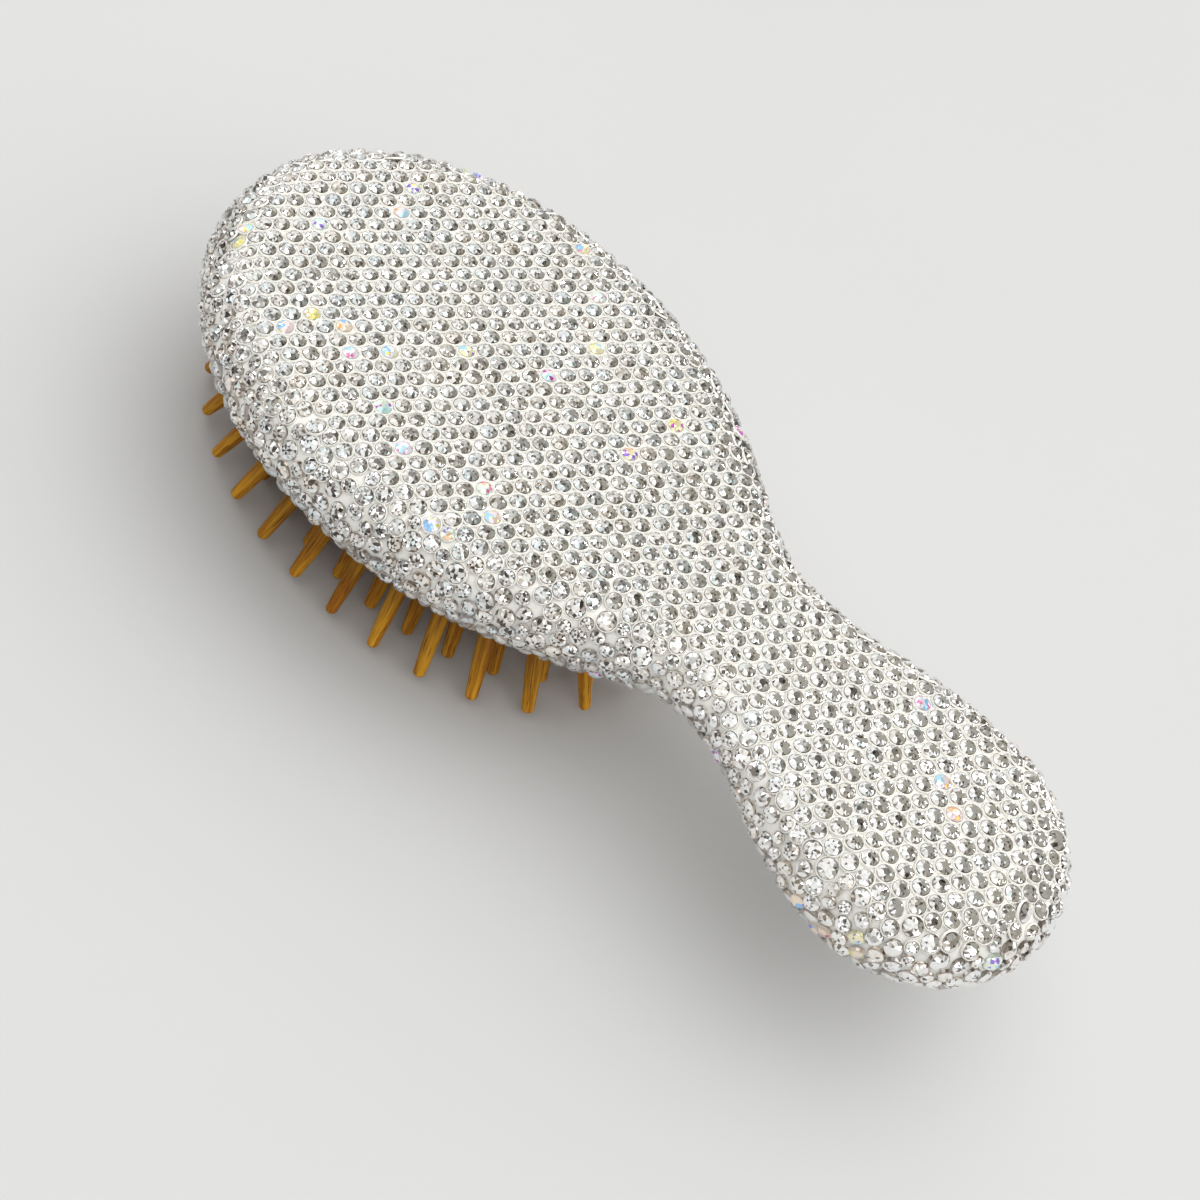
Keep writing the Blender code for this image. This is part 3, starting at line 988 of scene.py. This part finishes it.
class Nodes:
    """Short calls for building one node tree."""

    def __init__(self, tree):
        self.tree = tree

    def add(self, kind, links=None, **settings):
        node = self.tree.nodes.new(kind)
        for key, value in settings.items():
            setattr(node, key, value)
        for socket, value in (links or {}).items():
            target = node.inputs[socket]
            if isinstance(value, bpy.types.NodeSocket):
                self.tree.links.new(value, target)
            else:
                target.default_value = value
        return node

    def maths(self, operation, a, b=0.0, clamp=False):
        return self.add("ShaderNodeMath", {0: a, 1: b}, operation=operation, use_clamp=clamp).outputs[0]

    def vector(self, operation, a, b=(0.0, 0.0, 0.0)):
        node = self.add("ShaderNodeVectorMath", {0: a, 1: b}, operation=operation)
        return node.outputs["Value" if operation == "DOT_PRODUCT" else "Vector"]

    def ramp(self, value, start, end, low=0.0, high=1.0, smooth_ends=True):
        node = self.add("ShaderNodeMapRange", {0: value, 1: start, 2: end, 3: low, 4: high})
        node.interpolation_type = "SMOOTHSTEP" if smooth_ends else "LINEAR"
        return node.outputs[0]

    def mix(self, factor, a, b, blend="MIX"):
        node = self.add("ShaderNodeMix", data_type="RGBA", blend_type=blend)
        for socket, value in ((0, factor), (6, a), (7, b)):
            if isinstance(value, bpy.types.NodeSocket):
                self.tree.links.new(value, node.inputs[socket])
            else:
                node.inputs[socket].default_value = value if socket == 0 else (*value[:3], 1.0)
        return node.outputs[2]

    def noise(self, where, scale, detail=3.0, roughness=0.55):
        links = {"Vector": where, "Scale": scale, "Detail": detail, "Roughness": roughness}
        return self.add("ShaderNodeTexNoise", links).outputs["Fac"]

    def bump(self, height, strength, distance, normal=None):
        links = {"Height": height, "Strength": strength, "Distance": distance}
        if normal is not None:
            links["Normal"] = normal
        return self.add("ShaderNodeBump", links).outputs[0]


def new_material(name):
    made = bpy.data.materials.new(name)
    made.use_nodes = True
    nodes = Nodes(made.node_tree)
    return made, nodes, made.node_tree.nodes["Principled BSDF"]


def wire(nodes, shader, **values):
    for key, value in values.items():
        target = shader.inputs[key.replace("_", " ")]
        if isinstance(value, bpy.types.NodeSocket):
            nodes.tree.links.new(value, target)
        elif isinstance(value, tuple) and len(value) == 3:
            target.default_value = (*value, 1.0)
        else:
            target.default_value = value


def crystal_look(name, facet_share, mirror):
    """Foil-backed glass, clear coated. Facets mirror with a slope eased towards the stone's axis."""
    made, nodes, shader = new_material(name)
    # The tone attribute is the base colour: painted reflection greys on clear stones, coating colours on
    # iridescent ones.
    tone = nodes.add("ShaderNodeAttribute", attribute_name="tone").outputs["Color"]
    axis = nodes.add("ShaderNodeAttribute", attribute_name="axis").outputs["Vector"]
    facing = nodes.add("ShaderNodeNewGeometry").outputs["True Normal"]
    slopes = {"Factor": facet_share, 4: axis, 5: facing}
    eased = nodes.add("ShaderNodeMix", slopes, data_type="VECTOR").outputs[1]
    light = nodes.add("ShaderNodeRGBToBW", {"Color": tone}).outputs[0]
    wire(
        nodes,
        shader,
        Base_Color=tone,
        Metallic=mirror,
        Roughness=0.07,
        Normal=nodes.vector("NORMALIZE", eased),
        Coat_Weight=nodes.ramp(light, 0.08, 0.6, 0.3, 0.8),
        Coat_Roughness=0.02,
        Coat_IOR=1.55,
    )
    return made


def clay_look():
    made, nodes, shader = new_material("white_clay")
    where = nodes.add("ShaderNodeTexCoord").outputs["Object"]
    fine = nodes.noise(where, 2600.0, 4.0)
    broad = nodes.noise(where, 420.0, 3.0)
    tint = nodes.mix(broad, (0.90, 0.888, 0.835), (0.955, 0.948, 0.905))
    wire(
        nodes,
        shader,
        Base_Color=tint,
        Roughness=nodes.ramp(fine, 0.3, 0.7, 0.42, 0.62),
        Normal=nodes.bump(nodes.maths("ADD", fine, broad), 0.35, 0.00012),
    )
    return made


def wood_look(name, light, mid, dark, stretch, polish, foot=1.0):
    """Wood with its own grain on every piece. `foot` is how bright a pin's foot is next to its tip:
    painted shade where the head shades the pins' roots.
    """
    made, nodes, shader = new_material(name)
    local = nodes.add("ShaderNodeTexCoord").outputs["Object"]
    chance = nodes.add("ShaderNodeObjectInfo").outputs["Random"]
    aside = nodes.maths("MULTIPLY", chance, 0.37)
    shift = nodes.add("ShaderNodeCombineXYZ", {"X": aside, "Z": chance}).outputs[0]
    where = nodes.vector("ADD", local, shift)
    grain = nodes.noise(nodes.vector("MULTIPLY", where, stretch), 1.0, 5.0, 0.65)
    pores = nodes.noise(nodes.vector("MULTIPLY", where, tuple(3.2 * s for s in stretch)), 1.0, 2.0, 0.5)
    body = nodes.mix(nodes.ramp(grain, 0.4, 0.6), light, mid)
    streak = nodes.mix(nodes.ramp(pores, 0.56, 0.74), body, dark)
    # Painted shade: each pin's wood darkens from its tip towards its foot, down to `foot`.
    along = nodes.add("ShaderNodeSeparateXYZ", {"Vector": local}).outputs["Z"]
    own = nodes.ramp(chance, 0.0, 1.0, 0.78, 1.14, False)
    value = nodes.maths("MULTIPLY", own, nodes.ramp(along, *PIN_FOOT_SHADE, foot, 1.0))
    shade = nodes.add("ShaderNodeHueSaturation", {"Color": streak, "Value": value})
    wire(
        nodes,
        shader,
        Base_Color=shade.outputs[0],
        Roughness=nodes.ramp(grain, 0.3, 0.7, polish, polish + 0.16),
        Specular_IOR_Level=0.22,
        Coat_Weight=0.04,
        Coat_Roughness=0.3,
        Normal=nodes.bump(nodes.maths("SUBTRACT", grain, pores), 0.6, 0.00014),
    )
    return made


def rubber_look():
    made, nodes, shader = new_material("black_rubber")
    where = nodes.add("ShaderNodeTexCoord").outputs["Object"]
    fine = nodes.noise(where, 3500.0, 3.0)
    dust = nodes.noise(where, 900.0, 5.0, 0.7)
    tint = nodes.mix(nodes.ramp(dust, 0.55, 0.8), (0.018, 0.016, 0.015), (0.05, 0.046, 0.042))
    wire(
        nodes,
        shader,
        Base_Color=tint,
        Roughness=nodes.ramp(fine, 0.3, 0.7, 0.5, 0.7),
        Normal=nodes.bump(fine, 0.4, 0.00006),
    )
    return made


def foam_look():
    made, nodes, shader = new_material("backing_foam")
    where = nodes.add("ShaderNodeTexCoord").outputs["Object"]
    cells = nodes.add("ShaderNodeTexVoronoi", {"Vector": where, "Scale": 1400.0}).outputs["Distance"]
    tint = nodes.mix(nodes.ramp(cells, 0.1, 0.6), (0.34, 0.31, 0.27), (0.62, 0.58, 0.52))
    wire(nodes, shader, Base_Color=tint, Roughness=0.95, Normal=nodes.bump(cells, 0.8, 0.0003))
    return made


PIN_WOOD = ((0.82, 0.39, 0.02), (0.48, 0.17, 0.005), (0.14, 0.045, 0.003))  # light, mid and dark grain
BEECH = ((0.62, 0.42, 0.24), (0.5, 0.31, 0.16), (0.3, 0.17, 0.08))


def make_looks():
    return {
        "crystal": crystal_look("crystal_clear", 0.5, 1.0),
        "rainbow": crystal_look("crystal_iridescent", 0.5, 0.55),
        "clay": clay_look(),
        "pin_wood": wood_look("pin_wood", *PIN_WOOD, (1300.0, 1300.0, 45.0), 0.46, 0.6),
        "beech": wood_look("beech_core", *BEECH, (30.0, 500.0, 500.0), 0.5),
        "rubber": rubber_look(),
        "foam": foam_look(),
    }


# Studio


def build_floor():
    """A plain pale floor that the pins' tips rest on."""
    size, level = 3.0, cad_low.z
    corners = [(-size, -size, level), (size, -size, level), (size, size, level), (-size, size, level)]
    floor = new_object("floor", np.array(corners) / MM, [(0, 1, 2, 3)])
    made, nodes, shader = new_material("pale_floor")
    where = nodes.add("ShaderNodeTexCoord").outputs["Object"]
    cloud = nodes.noise(where, 6.0, 2.0)
    tint = nodes.mix(cloud, (0.665, 0.665, 0.66), (0.70, 0.70, 0.695))
    wire(nodes, shader, Base_Color=tint, Roughness=0.7)
    floor.data.materials.append(made)


def area_light(name, at, towards, size, watts, colour, glossy=True):
    """A round light seen either by mirrors alone, as a glint, or by everything but mirrors."""
    light = bpy.data.lights.new(name, "AREA")
    light.shape, light.size, light.energy, light.color = "DISK", size, watts, colour
    obj = bpy.data.objects.new(name, light)
    obj.location = at
    obj.rotation_mode = "QUATERNION"
    obj.rotation_quaternion = (Vector(towards) - Vector(at)).to_track_quat("-Z", "Y")
    obj.visible_glossy = glossy
    obj.visible_diffuse = not glossy
    bpy.context.scene.collection.objects.link(obj)
    return obj


def light_only(light, pieces):
    """Keeps a light to some pieces, so that it lifts their shaded side but not the shadow under them."""
    lit = bpy.data.collections.new(f"{light.name}_lit")
    for obj in pieces:
        lit.objects.link(obj)
    light.light_linking.receiver_collection = lit


def build_lights():
    middle = (0.03, 0.0, -0.02)
    area_light("key", (0.34, 0.40, 1.0), middle, 0.7, 0.6, (1.0, 0.985, 0.96), False)
    fill = area_light("fill", (-0.35, -0.75, 0.55), middle, 0.8, 2.6, (1.0, 0.99, 0.97), False)
    crust = [obj for obj in bpy.context.scene.objects if obj.name.startswith(("stones", "clay"))]
    light_only(fill, crust)
    area_light("glint_back", (0.35, 0.55, 0.35), middle, 0.05, 0.8, (1.0, 1.0, 1.0))
    area_light("glint_side", (-0.45, 0.1, 0.5), middle, 0.06, 0.8, (1.0, 1.0, 1.0))


def build_world():
    """Pale light, stronger from above. Mirrors see bright and dark panels instead, as in a room."""
    world = bpy.data.worlds.new("studio")
    bpy.context.scene.world = world
    world.use_nodes = True
    nodes = Nodes(world.node_tree)
    world.node_tree.nodes.clear()
    look = nodes.add("ShaderNodeTexCoord").outputs["Generated"]
    height = nodes.add("ShaderNodeSeparateXYZ", {"Vector": look}).outputs["Z"]
    above = nodes.vector("DOT_PRODUCT", look, tuple(Vector(LIGHT_FROM).normalized()))
    soft = nodes.mix(nodes.ramp(above, 0.1, 0.95), (0.05, 0.05, 0.05), (1.7, 1.7, 1.69))
    right = Vector(CAMERA_LOOK).cross(Vector(CAMERA_UP)).normalized()
    sideways = nodes.vector("DOT_PRODUCT", look, tuple(right))
    cloud = nodes.noise(look, 2.6, 3.0, 0.6)
    edge = nodes.maths("ADD", sideways, nodes.maths("MULTIPLY", nodes.maths("SUBTRACT", cloud, 0.5), 0.9))
    dark_side = nodes.ramp(edge, 0.34, 0.44)
    base = nodes.mix(dark_side, (0.91, 0.92, 0.90), (0.36, 0.35, 0.31))
    low = nodes.ramp(height, 0.55, 0.15)
    base = nodes.mix(nodes.maths("MULTIPLY", low, 0.65), base, (0.22, 0.19, 0.16))
    cells = nodes.add("ShaderNodeTexVoronoi", {"Vector": look, "Scale": 6.0}).outputs["Color"]
    chance = nodes.add("ShaderNodeSeparateColor", {"Color": cells}).outputs
    dim = nodes.mix(nodes.ramp(chance[0], 0.16, 0.18), (0.3, 0.28, 0.27), (1.0, 1.0, 1.0))
    lit_from = nodes.ramp(low, 0.0, 1.0, 0.9, 0.66)
    lit = nodes.maths("GREATER_THAN", chance[1], lit_from)
    panels = nodes.mix(lit, nodes.mix(1.0, base, dim, "MULTIPLY"), (1.9, 1.9, 1.95))
    rays = nodes.add("ShaderNodeLightPath").outputs
    colour = nodes.mix(rays["Is Glossy Ray"], soft, panels)
    colour = nodes.mix(rays["Is Camera Ray"], colour, (0.80, 0.80, 0.795))
    shade = nodes.add("ShaderNodeBackground", {"Color": colour, "Strength": 1.0})
    nodes.add("ShaderNodeOutputWorld", {"Surface": shade.outputs[0]})


def build_camera():
    data = bpy.data.cameras.new("camera")
    data.lens, data.sensor_width = CAMERA_LENS, 36.0
    data.clip_start, data.clip_end = 0.01, 10.0
    camera = bpy.data.objects.new("camera", data)
    bpy.context.scene.collection.objects.link(camera)
    forward, up = Vector(CAMERA_LOOK).normalized(), Vector(CAMERA_UP).normalized()
    right = forward.cross(up).normalized()
    up = right.cross(forward)
    turn = Matrix((right, up, -forward)).transposed()
    camera.matrix_world = Matrix.Translation(CAMERA_AT) @ turn.to_4x4()
    bpy.context.scene.camera = camera
    bpy.context.scene.view_settings.view_transform = "Standard"


def build():
    looks = make_looks()
    core = frame["nodes"]["brush_body"]
    core.data.materials.clear()
    core.data.materials.append(looks["beech"])
    frames = build_stones(looks)
    build_clay(frames, looks)
    build_dome(looks)
    build_rim(looks)
    build_pins(looks)
    build_backing(looks)
    build_floor()
    build_lights()
    build_world()
    build_camera()


build()
